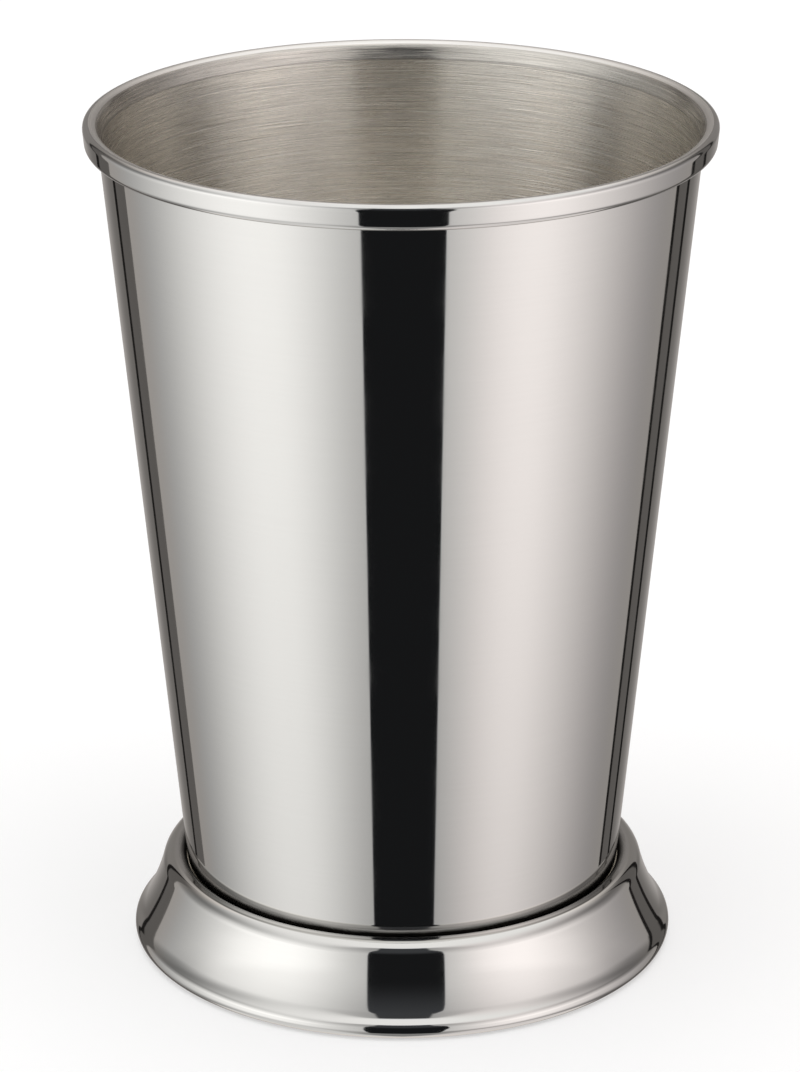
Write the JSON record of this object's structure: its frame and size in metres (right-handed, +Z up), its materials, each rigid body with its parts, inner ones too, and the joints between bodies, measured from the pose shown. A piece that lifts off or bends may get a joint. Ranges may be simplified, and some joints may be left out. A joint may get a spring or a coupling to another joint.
{
  "type": "julep cup",
  "caption": "Tapered polished steel cup with a banded lip, a brushed inside and a flared foot ring brazed round its base, for serving iced drinks.",
  "frame": {"origin": "on the cup's axis, level with the flat land of the foot ring that stands on the table", "axes": "+Z up along the cup's axis towards the lip; X and Y are free, because every piece is round about Z"},
  "size_m": [0.0798, 0.0798, 0.111],
  "materials": {
    "cup_steel": "mirror polished outside, satin brushed round the inside",
    "polished_steel": "mirror polished",
    "braze": "satin, as flowed"
  },
  "bodies": {
    "root": {"cup_body": "cup_steel", "rim_band": "polished_steel", "rim_braze": "braze", "foot_ring": "polished_steel", "foot_braze": "braze"}
  },
  "joints": []
}
